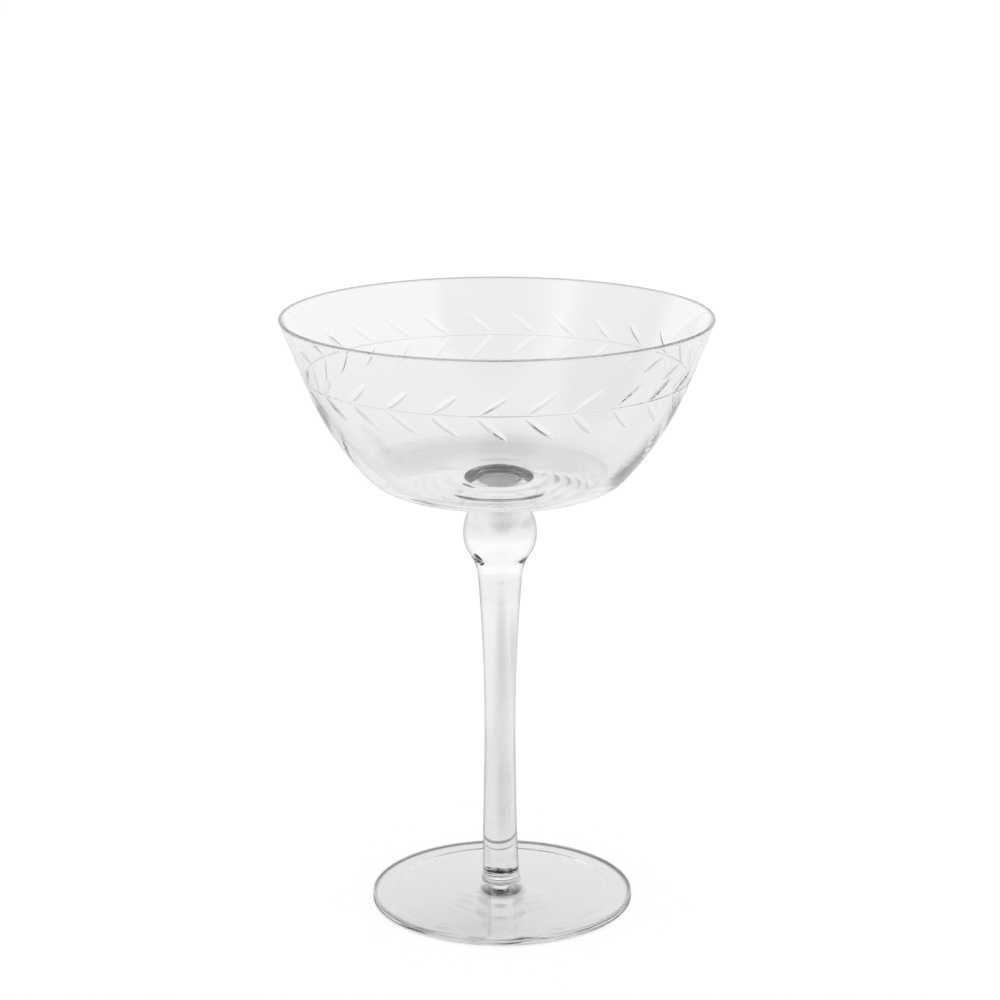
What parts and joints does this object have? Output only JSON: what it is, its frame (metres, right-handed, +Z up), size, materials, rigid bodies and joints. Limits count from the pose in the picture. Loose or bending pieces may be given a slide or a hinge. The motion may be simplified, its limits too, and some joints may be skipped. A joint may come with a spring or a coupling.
{
  "type": "champagne coupe",
  "caption": "Stemmed coupe glass for sparkling wine: a wide flared bowl with a wheel-cut leaf band, a ball knop, a slender waisted stem and a round foot.",
  "frame": {"origin": "centre of the foot, on the table", "axes": "+Z up along the stem's axis, -Y towards the viewer of the picture, +X to the viewer's right"},
  "size_m": [0.1126, 0.1126, 0.1602],
  "materials": {
    "bowl_glass": "clear blown glass, fire-polished, with wheel-cut leaves on the outside",
    "knop_glass": "clear solid glass, fire-polished",
    "stem_glass": "clear solid glass, fire-polished",
    "foot_glass": "clear solid glass, fire-polished"
  },
  "bodies": {
    "root": {"bowl": "bowl_glass", "knop": "knop_glass", "stem": "stem_glass", "foot": "foot_glass"}
  },
  "joints": []
}
